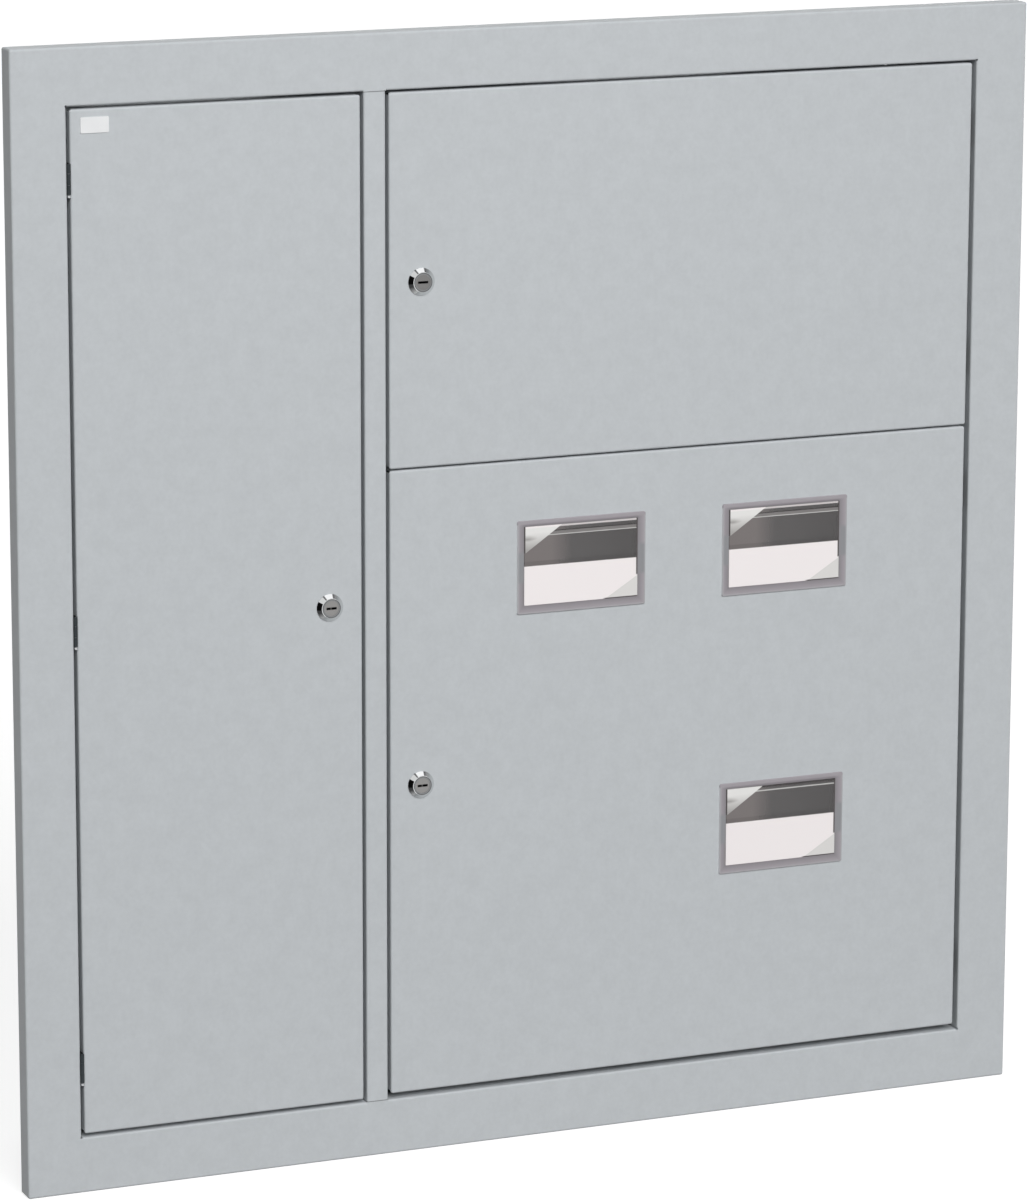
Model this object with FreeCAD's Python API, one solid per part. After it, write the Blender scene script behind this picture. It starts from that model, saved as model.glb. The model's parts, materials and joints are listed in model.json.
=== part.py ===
import FreeCAD, Part
import math
import os

# A flush-mounted staircase cabinet for three electricity meters, their breakers and low-current devices.
# X runs along the front from left to right, Y runs from the front into the wall, and Z is up.
# All sizes are in mm.
# The origin is the middle of the back face, halfway between the four wall fixing holes.

Vector = FreeCAD.Vector

# Overall sizes
face_width = 950.0
face_height = 1000.0
overall_depth = 140.0

# Sheets and folds
frame_sheet = 1.5
door_sheet = 1.2
shell_sheet = 1.2
panel_sheet = 1.5
bend_radius = 2.0

# Overrun of a cutting body past the face it cuts, and the tolerance for lengths that are equal
past = 1.0
tiny = 1e-6

# Front frame
side_border = 49.0
end_border = 50.0
frame_lip = 20.0
return_depth = 18.5
corner_relief_radius = 1.2

# Mullion, placed by the distance of its middle from the frame's left edge
mullion_from_left = 325.0
mullion_width = 20.0
mullion_seam = 0.2

# Back shell
shell_inset_x = 40.0
shell_inset_z = 30.0
shell_flange = 18.0
riser_entry_width = 160.0
riser_entry_depth = 60.0
riser_entry_from_back = 70.0
wall_hole_radius = 4.5
wall_hole_from_side = 70.0
wall_hole_from_end = 65.0

# Doors
door_flange = 15.0
door_corner_relief = 2.5
left_door_hinge_gap = 3.0
left_door_lock_gap = 3.0
left_door_top_gap = 2.6
left_door_bottom_gap = 3.2
right_door_lock_gap = 3.0
upper_door_hinge_gap = 4.2
meter_door_hinge_gap = 4.7
right_door_top_gap = 2.2
right_door_bottom_gap = 5.2
split_gap = 1.5
split_from_top = 380.7

# Barrel hinges of the left door
barrel_radius = 1.7
barrel_pin_radius = 0.95
pin_clearance = 0.05
barrel_length = 26.0
barrel_door_share = 9.4
barrel_joint_gap = 0.3
barrel_leaf_sheet = 0.7
barrel_leaf_depth = 11.0
pin_head_radius = 1.5
left_hinge_from_top = 61.0
left_hinge_from_bottom = 63.0

# Concealed hinges of the right doors
knuckle_radius = 2.6
knuckle_pin_radius = 1.5
knuckle_pin_head_radius = 2.2
knuckle_pin_head_height = 1.2
knuckle_sheet = 1.2
knuckle_length = 30.0
knuckle_door_share = 12.0
hinge_inset = 5.0
hinge_leaf_length = 22.0
hinge_neck_reach = 7.2
hinge_frame_leaf_depth = 8.0
hinge_notch_margin = 1.5
upper_hinge_from_end = 60.0
meter_hinge_from_end = 61.0

# Cam locks
bezel_base_radius = 12.1
bezel_face_radius = 8.4
bezel_height = 4.7
bezel_rim = 0.8
housing_radius = 9.0
housing_flat = 7.9
housing_hole_clearance = 0.1
housing_cam_gap = 1.6
barrel_head_radius = 6.6
barrel_head_depth = 3.2
barrel_head_recess = 0.3
lock_barrel_radius = 5.4
running_clearance = 0.05
lock_end_gap = 0.2
lock_nut_across = 24.0
lock_nut_height = 4.0
cam_gap = 0.9
cam_sheet = 1.8
cam_reach = 38.0
cam_width = 14.0
cam_hub_radius = 9.0
cam_square = 6.0
cam_square_clearance = 0.05
cam_screw_head_radius = 4.0
cam_screw_head_height = 2.2
cam_screw_radius = 1.9
cam_screw_length = 8.0
left_lock_inset = 30.2
left_lock_raise = 2.3
upper_lock_inset = 29.6
meter_lock_inset = 28.5
right_lock_drop = 0.8
keyhole_height = 1.8
keyhole_depth = 4.0

# Window inserts in the meter door
window_width = 123.0
window_height = 84.0
window_border_left = 6.2
window_border_right = 7.8
window_border_top = 5.2
window_border_bottom = 7.8
window_flange_thickness = 1.4
window_corner_radius = 2.0
window_edge_chamfer = 0.5
pane_thickness = 2.0
pane_proud = 0.3
pane_gap = 0.2
pane_ledge = 2.0
pane_corner_radius = 0.5
spigot_wall = 1.5
spigot_length = 6.0
cutout_clearance = 0.3
clip_height = 27.0
clip_reach = 2.5
clip_gap = 0.3
window_pair_gap = 75.0
window_pair_offset = 0.9
window_from_door_top = 95.5
window_from_door_bottom = 210.9

# Blank badge plate on the left door
badge_width = 25.0
badge_height = 13.5
badge_thickness = 0.8
badge_from_door_left = 9.2
badge_from_door_top = 6.8
badge_corner_radius = 1.0

# Partition and shelf
partition_back_flange = 15.0
partition_front_flange = 6.0
partition_end_gap = 1.0
shelf_setback = 22.0
shelf_fold = 12.0
shelf_pass_depth = 40.0

# Low-current panel
low_panel_left_gap = 35.8
low_panel_right_gap = 37.4
low_panel_end_gap = 58.8
low_panel_standoff = 15.0
low_slot_length = 24.0
low_slot_width = 6.0
low_slot_margin_x = 30.0
low_slot_margin_z = 50.0
low_slot_pitch_x = 60.0
low_slot_pitch_z = 78.0

# Meter panel
meter_panel_left_gap = 15.0
meter_panel_right_gap = 36.0
meter_panel_top_gap = 18.0
meter_panel_bottom_gap = 52.1
meter_panel_standoff = 31.5
meter_slot_width = 6.5
meter_slot_length = 30.0
meter_slot_rise = 54.0
meter_slot_drop = 92.0
meter_slot_spread = 52.0

# Top-hat rails
rail_height = 35.0
rail_crown = 25.0
rail_depth = 7.5
rail_sheet = 1.0
rail_left_gap = 56.8
rail_right_gap = 56.4
rail_pitch = 140.0
rail_slot_length = 15.0
rail_slot_width = 5.2
rail_slot_pitch = 25.0
bracket_sheet = 2.0
bracket_width = 30.0
bracket_foot = 18.0

# Fascia in front of the rails
fascia_setback = 42.0
fascia_to_rail = 42.5
fascia_top_gap = 34.9
fascia_bottom_gap = 14.6
fascia_flange = 14.0
fascia_slot_height = 46.0
fascia_slot_inset = 17.0
standoff_inset = 13.0
standoff_across = 10.0
fascia_screw_radius = 2.4
fascia_screw_head_radius = 6.0
fascia_screw_head_height = 5.0
fascia_screw_length = 12.0
fascia_hole_clearance = 0.3
fascia_screw_chamfer = 0.8
fascia_screw_slot_width = 1.4
fascia_screw_slot_depth = 1.6

# Neutral and earth bars
bar_length = 150.0
bar_width = 12.0
bar_thickness = 9.0
bar_pitch = 70.0
bar_screw_count = 11
bar_screw_pitch = 12.0
bar_screw_radius = 2.2
bar_screw_head_radius = 3.4
bar_screw_head_height = 2.4
bar_screw_slot_width = 1.0
bar_screw_slot_depth = 1.2
bar_hole_floor = 1.0
insulator_width = 12.0
insulator_height = 22.0
insulator_depth = 18.0

# Earth studs
stud_radius = 4.0
stud_length = 15.0
stud_collar_radius = 7.0
stud_collar_height = 4.0
stud_from_wall = 20.0

# Places that follow from the sizes above
front = -overall_depth
opening_left = -face_width / 2 + side_border
opening_right = face_width / 2 - side_border
opening_bottom = -face_height / 2 + end_border
opening_top = face_height / 2 - end_border
mullion_middle = -face_width / 2 + mullion_from_left
mullion_left = mullion_middle - mullion_width / 2
mullion_right = mullion_middle + mullion_width / 2
mullion_back = front + return_depth
split = face_height / 2 - split_from_top
shell_half_width = face_width / 2 - shell_inset_x
shell_half_height = face_height / 2 - shell_inset_z
shell_front = front + frame_sheet
inside_right = shell_half_width - shell_sheet
inside_top = shell_half_height - shell_sheet
back_plate = -shell_sheet
rim = front + door_flange

left_door_x = (opening_left + left_door_hinge_gap, mullion_left - left_door_lock_gap)
left_door_z = (opening_bottom + left_door_bottom_gap, opening_top - left_door_top_gap)
upper_door_x = (mullion_right + right_door_lock_gap, opening_right - upper_door_hinge_gap)
upper_door_z = (split + split_gap / 2, opening_top - right_door_top_gap)
meter_door_x = (mullion_right + right_door_lock_gap, opening_right - meter_door_hinge_gap)
meter_door_z = (opening_bottom + right_door_bottom_gap, split - split_gap / 2)


def middle(span):
    return (span[0] + span[1]) / 2


def block(x, y, z):
    """A box from its low and high places along each axis."""
    return Part.makeBox(x[1] - x[0], y[1] - y[0], z[1] - z[0], Vector(x[0], y[0], z[0]))


def around(centre, size):
    """The low and high place of a length about its middle."""
    return (centre - size / 2, centre + size / 2)


def rod_y(x, z, radius, y):
    return Part.makeCylinder(radius, y[1] - y[0], Vector(x, y[0], z), Vector(0, 1, 0))


def rod_z(x, y, radius, z):
    return Part.makeCylinder(radius, z[1] - z[0], Vector(x, y, z[0]), Vector(0, 0, 1))


def hexagon_y(x, z, across, y):
    """A hexagonal prism along Y."""
    reach = across / math.sqrt(3)
    turns = [math.radians(60 * k) for k in range(7)]
    points = [Vector(x + reach * math.cos(a), y[0], z + reach * math.sin(a)) for a in turns]
    return Part.Face(Part.makePolygon(points)).extrude(Vector(0, y[1] - y[0], 0))


def slot_y(x, z, length, width, y, upright=False):
    """A round-ended slot through the sheet, lying along X or upright along Z."""
    half = (length - width) / 2
    if upright:
        body = block(around(x, width), y, around(z, 2 * half))
        ends = [(x, z - half), (x, z + half)]
    else:
        body = block(around(x, 2 * half), y, around(z, width))
        ends = [(x - half, z), (x + half, z)]
    for end in ends:
        body = body.fuse(rod_y(end[0], end[1], width / 2, y))
    return body


def flat_edges(shape, y):
    """The edges that lie in the plane at one Y."""
    return [e for e in shape.Edges if abs(e.BoundBox.YMin - y) < tiny and abs(e.BoundBox.YMax - y) < tiny]


def deep_edges(shape):
    """The straight edges that run along Y."""
    return [e for e in shape.Edges if e.BoundBox.XLength < tiny and e.BoundBox.ZLength < tiny]


def rounded_block(x, y, z, face_y, radius):
    """A box rounded at the edges of one face and at the corners that run back from it."""
    shape = block(x, y, z)
    return shape.makeFillet(radius, flat_edges(shape, face_y) + deep_edges(shape))


def pan(x, z, face_y, rim_y, sheet):
    """A sheet folded along four sides, with its face at face_y and its rim at rim_y."""
    back = 1 if rim_y > face_y else -1
    outer = rounded_block(x, sorted((face_y, rim_y)), z, face_y, bend_radius)
    inner_face = face_y + back * sheet
    inner_x = (x[0] + sheet, x[1] - sheet)
    inner_z = (z[0] + sheet, z[1] - sheet)
    inner_y = sorted((inner_face, rim_y + back))
    return outer.cut(rounded_block(inner_x, inner_y, inner_z, inner_face, bend_radius - sheet))


def folded_pan(x, z, face_y, rim_y, sheet):
    """A pan whose four flanges are cut apart at the corners, as a folded blank has them."""
    back = 1 if rim_y > face_y else -1
    shape = pan(x, z, face_y, rim_y, sheet)
    deep = sorted((face_y + back * bend_radius, rim_y + back))
    for end_x in ((x[0] - past, x[0] + door_corner_relief), (x[1] - door_corner_relief, x[1] + past)):
        for end_z in ((z[0] - past, z[0] + door_corner_relief), (z[1] - door_corner_relief, z[1] + past)):
            shape = shape.cut(block(end_x, deep, end_z))
    return shape


def one(shape):
    """The shape with faces that continue each other merged."""
    return shape.removeSplitter()


# Front frame

def opening_edges(shape, y):
    """The edges in one plane that lie nearer to the opening than to the frame's outside."""
    near_x = face_width / 2 - side_border / 2
    near_z = face_height / 2 - end_border / 2
    middles = [(e, e.CenterOfMass) for e in flat_edges(shape, y)]
    return [e for e, c in middles if abs(c.x) < near_x and abs(c.z) < near_z]


def front_frame():
    lip_back = front + frame_lip
    return_back = front + return_depth
    half_w = face_width / 2
    half_h = face_height / 2
    through = (front - past, lip_back + past)
    opening_x = (opening_left, opening_right)
    opening_z = (opening_bottom, opening_top)
    outer = rounded_block((-half_w, half_w), (front, lip_back), (-half_h, half_h), front, bend_radius)
    ring = outer.cut(block(opening_x, through, opening_z))
    ring = ring.makeFillet(bend_radius, opening_edges(ring, front))

    plate_back = front + frame_sheet
    inner_radius = bend_radius - frame_sheet
    inset_x = (-half_w + frame_sheet, half_w - frame_sheet)
    inset_z = (-half_h + frame_sheet, half_h - frame_sheet)
    cavity = rounded_block(inset_x, (plate_back, lip_back + past), inset_z, plate_back, inner_radius)
    wall_x = (opening_left - frame_sheet, opening_right + frame_sheet)
    wall_z = (opening_bottom - frame_sheet, opening_top + frame_sheet)
    cavity = cavity.cut(block(wall_x, through, wall_z))
    cavity = cavity.makeFillet(inner_radius, opening_edges(cavity, plate_back))
    frame = ring.cut(cavity)

    step = block(wall_x, (return_back, lip_back + past), wall_z)
    frame = frame.cut(step)
    for x in opening_x:
        for z in opening_z:
            frame = frame.cut(rod_y(x, z, corner_relief_radius, through))

    # The opening's edge is left flat where the mullion butts against it.
    notch_x = around(mullion_middle, mullion_width + 2 * mullion_seam)
    for z, outward in ((opening_top, 1), (opening_bottom, -1)):
        cut_z = sorted((z, z + outward * (frame_sheet + bend_radius)))
        frame = frame.cut(block(notch_x, (plate_back, lip_back + past), cut_z))
        frame = frame.fuse(block(notch_x, (front, plate_back), cut_z))
    return one(frame)


# Mullion

def mullion():
    height = (opening_bottom + mullion_seam, opening_top - mullion_seam)
    bar = block((mullion_left, mullion_right), (front, mullion_back), height)
    edges = [e for e in flat_edges(bar, front) if e.BoundBox.ZLength > mullion_width]
    bar = bar.makeFillet(bend_radius, edges)
    hollow_x = (mullion_left + frame_sheet, mullion_right - frame_sheet)
    hollow_z = (height[0] - past, height[1] + past)
    hollow = block(hollow_x, (front + frame_sheet, mullion_back + past), hollow_z)
    edges = [e for e in flat_edges(hollow, front + frame_sheet) if e.BoundBox.ZLength > mullion_width]
    hollow = hollow.makeFillet(bend_radius - frame_sheet, edges)
    return bar.cut(hollow)


# Back shell

def wall_hole_places():
    x = face_width / 2 - wall_hole_from_side
    z = face_height / 2 - wall_hole_from_end
    return [(sx * x, sz * z) for sx in (-1, 1) for sz in (-1, 1)]


def back_shell():
    wide = (-shell_half_width, shell_half_width)
    high = (-shell_half_height, shell_half_height)
    tray = pan(wide, high, 0.0, shell_front, shell_sheet)
    flange_y = (shell_front, shell_front + shell_sheet)
    rim_x = (wide[0] - shell_flange, wide[1] + shell_flange)
    rim_z = (high[0] - shell_flange, high[1] + shell_flange)
    flange = block(rim_x, flange_y, rim_z)
    hole_x = (wide[0] + shell_sheet / 2, wide[1] - shell_sheet / 2)
    hole_z = (high[0] + shell_sheet / 2, high[1] - shell_sheet / 2)
    flange = flange.cut(block(hole_x, (flange_y[0] - past, flange_y[1] + past), hole_z))
    shell = tray.fuse(flange)
    for x, z in wall_hole_places():
        shell = shell.cut(rod_y(x, z, wall_hole_radius, (back_plate - past, past)))
    entry_y = around(-riser_entry_from_back, riser_entry_depth)
    for x in (middle(left_door_x), middle(upper_door_x)):
        for z in (high[0], high[1]):
            shell = shell.cut(block(around(x, riser_entry_width), entry_y, around(z, 4 * shell_sheet)))
    return one(shell)


# Partition between the columns, and shelf between the right compartments

partition_x = around(mullion_middle, shell_sheet)
shelf_z = around(split, shell_sheet)
shelf_front = front + shelf_setback
partition_front_z = (opening_bottom + partition_end_gap, opening_top - partition_end_gap)
inner_bend = bend_radius - shell_sheet


def partition():
    high = (-inside_top + inner_bend, inside_top - inner_bend)
    web_back = block(partition_x, (shelf_front, back_plate), high)
    web_front = block(partition_x, (front + frame_sheet, shelf_front), partition_front_z)
    return one(web_back.fuse(web_front))


def partition_flanges():
    """A foot on the back plate, at the low-current side, and a lip behind the mullion, welded to the web."""
    foot_z = (-inside_top + inner_bend, inside_top - inner_bend)
    foot_x = (partition_x[1] - partition_back_flange, partition_x[0])
    foot = block(foot_x, (back_plate - shell_sheet, back_plate), foot_z)
    lip_x = (partition_x[1], partition_x[0] + partition_front_flange)
    lip_y = (front + frame_sheet, front + frame_sheet + shell_sheet)
    return [one(foot), one(block(lip_x, lip_y, partition_front_z))]


shelf_back = back_plate - shelf_pass_depth
shelf_x = (partition_x[1], inside_right - inner_bend)


def shelf():
    """A plate between the partition and the wall. Wires pass through the gap behind it."""
    return one(block(shelf_x, (shelf_front, shelf_back), shelf_z))


def shelf_flanges():
    """Stiffeners welded to the plate: one under its front edge and one on its back edge."""
    under = block(shelf_x, (shelf_front, shelf_front + shell_sheet), (shelf_z[0] - shelf_fold, shelf_z[0]))
    above = block(shelf_x, (shelf_back - shell_sheet, shelf_back), (shelf_z[1], shelf_z[1] + shelf_fold))
    return [one(under), one(above)]


# Hinges of the left door: pin axis in the middle of the gap, in the plane of the face

left_axis_x = opening_left + left_door_hinge_gap / 2
left_axis_y = front
left_hinge_ends = (opening_bottom + left_hinge_from_bottom, opening_top - left_hinge_from_top)
left_hinge_places = [left_hinge_ends[1], middle(left_hinge_ends), left_hinge_ends[0]]


def knuckle_spans(z, length, door_share):
    """The heights of the two frame knuckles and of the door knuckle between them."""
    low, high = around(z, length)
    door = around(z, door_share)
    below = (low, door[0] - barrel_joint_gap)
    above = (door[1] + barrel_joint_gap, high)
    return [below, above], [door]


def barrel_leaf(z, side):
    """A leaf of a barrel hinge. Side is -1 for the frame's leaf and 1 for the door's."""
    frame_spans, door_spans = knuckle_spans(z, barrel_length, barrel_door_share)
    spans = frame_spans if side < 0 else door_spans
    outer_x = left_axis_x + side * left_door_hinge_gap / 2
    leaf_x = sorted((outer_x, outer_x - side * barrel_leaf_sheet))
    bend_end = left_axis_y + barrel_radius + barrel_joint_gap + pin_clearance
    leaf = block(leaf_x, (bend_end, bend_end + barrel_leaf_depth), around(z, barrel_length))
    for span in spans:
        leaf = leaf.fuse(rod_z(left_axis_x, left_axis_y, barrel_radius, span))
        leaf = leaf.fuse(block(leaf_x, (left_axis_y, bend_end), span))
    bore = rod_z(left_axis_x, left_axis_y, barrel_pin_radius + pin_clearance, around(z, 2 * barrel_length))
    return one(leaf.cut(bore))


def barrel_pin(z):
    """A pin with a round head under the lowest knuckle."""
    low, high = around(z, barrel_length)
    pin = rod_z(left_axis_x, left_axis_y, barrel_pin_radius, (low - pin_head_radius, high))
    ball = Part.makeSphere(pin_head_radius, Vector(left_axis_x, left_axis_y, low - pin_head_radius))
    return one(pin.fuse(ball))


# Concealed hinges of the right doors: pin axis behind the door's face, near its edge

hinge_axis_y = front + door_sheet + knuckle_radius


def hinge_axis_x(door_x):
    return door_x[1] - hinge_inset


def hinge_places(door_z, from_end):
    return [door_z[1] - from_end, door_z[0] + from_end]


def concealed_door_leaf(door_x, z):
    axis_x = hinge_axis_x(door_x)
    span = knuckle_spans(z, knuckle_length, knuckle_door_share)[1][0]
    leaf_y = (front + door_sheet, front + door_sheet + knuckle_sheet)
    tail_x = (axis_x - hinge_leaf_length, axis_x - knuckle_radius - barrel_joint_gap)
    leaf = block(tail_x, leaf_y, around(z, knuckle_length))
    leaf = leaf.fuse(block((tail_x[1], axis_x), leaf_y, span))
    leaf = leaf.fuse(rod_z(axis_x, hinge_axis_y, knuckle_radius, span))
    bore = rod_z(axis_x, hinge_axis_y, knuckle_pin_radius + pin_clearance, around(z, 2 * knuckle_length))
    return one(leaf.cut(bore))


def concealed_frame_leaf(door_x, z):
    """The leaf's neck comes round behind the door's edge, so that the edge can swing in."""
    axis_x = hinge_axis_x(door_x)
    frame_spans = knuckle_spans(z, knuckle_length, knuckle_door_share)[0]
    neck_x = (axis_x - knuckle_radius, axis_x - knuckle_radius + knuckle_sheet)
    neck_y = (hinge_axis_y + hinge_neck_reach, hinge_axis_y + hinge_neck_reach + knuckle_sheet)
    height = around(z, knuckle_length)
    leaf = block((neck_x[0], opening_right), neck_y, height)
    leaf_x = (opening_right - knuckle_sheet, opening_right)
    leaf = leaf.fuse(block(leaf_x, (neck_y[0], neck_y[0] + hinge_frame_leaf_depth), height))
    for span in frame_spans:
        leaf = leaf.fuse(block(neck_x, (hinge_axis_y, neck_y[1]), span))
        leaf = leaf.fuse(rod_z(axis_x, hinge_axis_y, knuckle_radius, span))
    bore = rod_z(axis_x, hinge_axis_y, knuckle_pin_radius + pin_clearance, around(z, 2 * knuckle_length))
    return one(leaf.cut(bore))


def concealed_pin(door_x, z):
    low, high = around(z, knuckle_length)
    axis_x = hinge_axis_x(door_x)
    pin = rod_z(axis_x, hinge_axis_y, knuckle_pin_radius, (low, high))
    head = rod_z(axis_x, hinge_axis_y, knuckle_pin_head_radius, (high, high + knuckle_pin_head_height))
    return one(pin.fuse(head))


def hinge_notched(door, door_x, places):
    """The door with its flange cut away at each concealed hinge."""
    cut_x = (door_x[1] - bend_radius, door_x[1] + past)
    for z in places:
        height = around(z, knuckle_length + 2 * hinge_notch_margin)
        door = door.cut(block(cut_x, (front + bend_radius, rim + past), height))
    return door


# Cam locks

bezel_face = front - bezel_height
cam_front = mullion_back + cam_gap
cam_back = cam_front + cam_sheet
housing_back = cam_front - housing_cam_gap


def flatted(x, z, radius, flat, y):
    """A round bar with two flats, upper and lower."""
    return rod_y(x, z, radius, y).common(block(around(x, 3 * radius), y, around(z, 2 * flat)))


def lock_hole(x, z):
    radius = housing_radius + housing_hole_clearance
    flat = housing_flat + housing_hole_clearance
    return flatted(x, z, radius, flat, (front - past, front + bend_radius))


def lock_housing(x, z):
    rim_disc = rod_y(x, z, bezel_base_radius, (front - bezel_rim, front))
    cone_start = Vector(x, front - bezel_rim, z)
    cone_height = bezel_height - bezel_rim
    cone = Part.makeCone(bezel_base_radius, bezel_face_radius, cone_height, cone_start, Vector(0, -1, 0))
    body = flatted(x, z, housing_radius, housing_flat, (front, housing_back))
    shape = rim_disc.fuse(cone).fuse(body)
    head_bottom = bezel_face + barrel_head_recess + barrel_head_depth
    seat = (bezel_face - past, head_bottom + lock_end_gap)
    shape = shape.cut(rod_y(x, z, barrel_head_radius + running_clearance, seat))
    bore = (seat[1] - past, housing_back + past)
    return one(shape.cut(rod_y(x, z, lock_barrel_radius + running_clearance, bore)))


def lock_nut(x, z):
    nut_y = (front + door_sheet, front + door_sheet + lock_nut_height)
    hole = rod_y(x, z, housing_radius + running_clearance, nut_y)
    return hexagon_y(x, z, lock_nut_across, nut_y).cut(hole)


def keyhole(x, z, dashes):
    """Slots in the barrel's face. Each dash is its place along the keyhole and its length."""
    deep = (bezel_face - past, bezel_face + barrel_head_recess + keyhole_depth)
    shapes = []
    for place, length in dashes:
        if length <= keyhole_height:
            shapes.append(rod_y(x + place, z, keyhole_height / 2, deep))
        else:
            shapes.append(block(around(x + place, length), deep, around(z, keyhole_height)))
    return Part.makeCompound(shapes)


def lock_barrel(x, z, dashes):
    head_y = (bezel_face + barrel_head_recess, bezel_face + barrel_head_recess + barrel_head_depth)
    shape = rod_y(x, z, barrel_head_radius, head_y)
    shape = shape.fuse(rod_y(x, z, lock_barrel_radius, (head_y[1], cam_front)))
    square = block(around(x, cam_square), (cam_front, cam_back), around(z, cam_square))
    shape = one(shape.fuse(square))
    hole_y = (cam_back - cam_screw_length - past, cam_back + past)
    hole = rod_y(x, z, cam_screw_radius + running_clearance, hole_y)
    return shape.cut(hole).cut(keyhole(x, z, dashes))


def lock_cam(x, z):
    """The cam hangs down at rest, clear of the mullion."""
    deep = (cam_front, cam_back)
    tip = z - cam_reach + cam_width / 2
    shape = rod_y(x, z, cam_hub_radius, deep)
    shape = shape.fuse(block(around(x, cam_width), deep, (tip, z)))
    shape = shape.fuse(rod_y(x, tip, cam_width / 2, deep))
    hole = around(0, cam_square + 2 * cam_square_clearance)
    hole_x = (x + hole[0], x + hole[1])
    hole_z = (z + hole[0], z + hole[1])
    return one(shape.cut(block(hole_x, (cam_front - past, cam_back + past), hole_z)))


def cam_screw(x, z):
    shank = rod_y(x, z, cam_screw_radius, (cam_back - cam_screw_length, cam_back))
    head = rod_y(x, z, cam_screw_head_radius, (cam_back, cam_back + cam_screw_head_height))
    return one(shank.fuse(head))


lock_places = {
    "left": (left_door_x[1] - left_lock_inset, middle(left_door_z) + left_lock_raise),
    "upper": (upper_door_x[0] + upper_lock_inset, middle(upper_door_z) - right_lock_drop),
    "meter": (meter_door_x[0] + meter_lock_inset, middle(meter_door_z) - right_lock_drop),
}
two_dashes = ((-2.6, 3.6), (2.4, 4.2))
dot_and_dash = ((-3.6, keyhole_height), (1.2, 6.4))
keyholes = {"left": two_dashes, "upper": dot_and_dash, "meter": two_dashes}


# Window inserts

window_pair_middle = middle(meter_door_x) + window_pair_offset
window_columns = around(window_pair_middle, window_width + window_pair_gap)
upper_window_z = meter_door_z[1] - window_from_door_top
lower_window_z = meter_door_z[0] + window_from_door_bottom
window_places = [
    (window_columns[0], upper_window_z),
    (window_columns[1], upper_window_z),
    (window_columns[1], lower_window_z),
]
clear_width = window_width - window_border_left - window_border_right
clear_height = window_height - window_border_bottom - window_border_top
clear_shift_x = (window_border_left - window_border_right) / 2
clear_shift_z = (window_border_bottom - window_border_top) / 2
spigot_width = clear_width + 2 * spigot_wall
spigot_height = clear_height + 2 * spigot_wall


def rounded_plate(x, y, z, radius):
    shape = block(x, y, z)
    return shape.makeFillet(radius, deep_edges(shape))


def window_cutout(x, z):
    wide = around(x + clear_shift_x, spigot_width + 2 * cutout_clearance)
    high = around(z + clear_shift_z, spigot_height + 2 * cutout_clearance)
    return rounded_plate(wide, (front - past, front + bend_radius), high, window_corner_radius)


def clip(x, z, side):
    """A wedge behind the door sheet that holds the insert."""
    root = x + clear_shift_x + side * spigot_width / 2
    catch = front + door_sheet + clip_gap
    end = front + spigot_length
    points = [Vector(root, catch, 0), Vector(root + side * clip_reach, catch, 0), Vector(root, end, 0)]
    wedge = Part.Face(Part.makePolygon(points + points[:1])).extrude(Vector(0, 0, clip_height))
    wedge.translate(Vector(0, 0, z - clip_height / 2))
    return wedge


def window_frame(x, z):
    """A flange round an opening that is off the flange's middle, with a spigot and two clips behind it."""
    clear_x = x + clear_shift_x
    clear_z = z + clear_shift_z
    face = front - window_flange_thickness
    ledge_front = face - pane_proud + pane_thickness
    high = around(z, window_height)
    flange = rounded_plate(around(x, window_width), (face, front), high, window_corner_radius)
    flange = flange.makeChamfer(window_edge_chamfer, flat_edges(flange, face))
    spigot_end = front + spigot_length
    high = around(clear_z, spigot_height)
    spigot_corner = window_corner_radius - cutout_clearance
    spigot = rounded_plate(around(clear_x, spigot_width), (front, spigot_end), high, spigot_corner)
    shape = flange.fuse(spigot)
    for side in (-1, 1):
        shape = shape.fuse(clip(x, z, side))
    seat = block(around(clear_x, clear_width), (face - past, ledge_front), around(clear_z, clear_height))
    sight_x = around(clear_x, clear_width - 2 * pane_ledge)
    sight_z = around(clear_z, clear_height - 2 * pane_ledge)
    sight = block(sight_x, (face - past, spigot_end + past), sight_z)
    return one(shape.cut(seat).cut(sight))


def window_pane(x, z):
    face = front - window_flange_thickness - pane_proud
    wide = around(x + clear_shift_x, clear_width - 2 * pane_gap)
    high = around(z + clear_shift_z, clear_height - 2 * pane_gap)
    return rounded_plate(wide, (face, face + pane_thickness), high, pane_corner_radius)


# Doors

def left_door():
    door = folded_pan(left_door_x, left_door_z, front, rim, door_sheet)
    return one(door.cut(lock_hole(*lock_places["left"])))


def upper_door():
    door = folded_pan(upper_door_x, upper_door_z, front, rim, door_sheet)
    door = hinge_notched(door, upper_door_x, hinge_places(upper_door_z, upper_hinge_from_end))
    return one(door.cut(lock_hole(*lock_places["upper"])))


def meter_door():
    door = folded_pan(meter_door_x, meter_door_z, front, rim, door_sheet)
    door = hinge_notched(door, meter_door_x, hinge_places(meter_door_z, meter_hinge_from_end))
    for place in window_places:
        door = door.cut(window_cutout(*place))
    return one(door.cut(lock_hole(*lock_places["meter"])))


def blank_badge():
    wide = (left_door_x[0] + badge_from_door_left, left_door_x[0] + badge_from_door_left + badge_width)
    high = (left_door_z[1] - badge_from_door_top - badge_height, left_door_z[1] - badge_from_door_top)
    return rounded_plate(wide, (front - badge_thickness, front), high, badge_corner_radius)


# Low-current panel

low_panel_x = (-inside_right + low_panel_left_gap, partition_x[0] - low_panel_right_gap)
low_panel_z = (-inside_top + low_panel_end_gap, inside_top - low_panel_end_gap)


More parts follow.
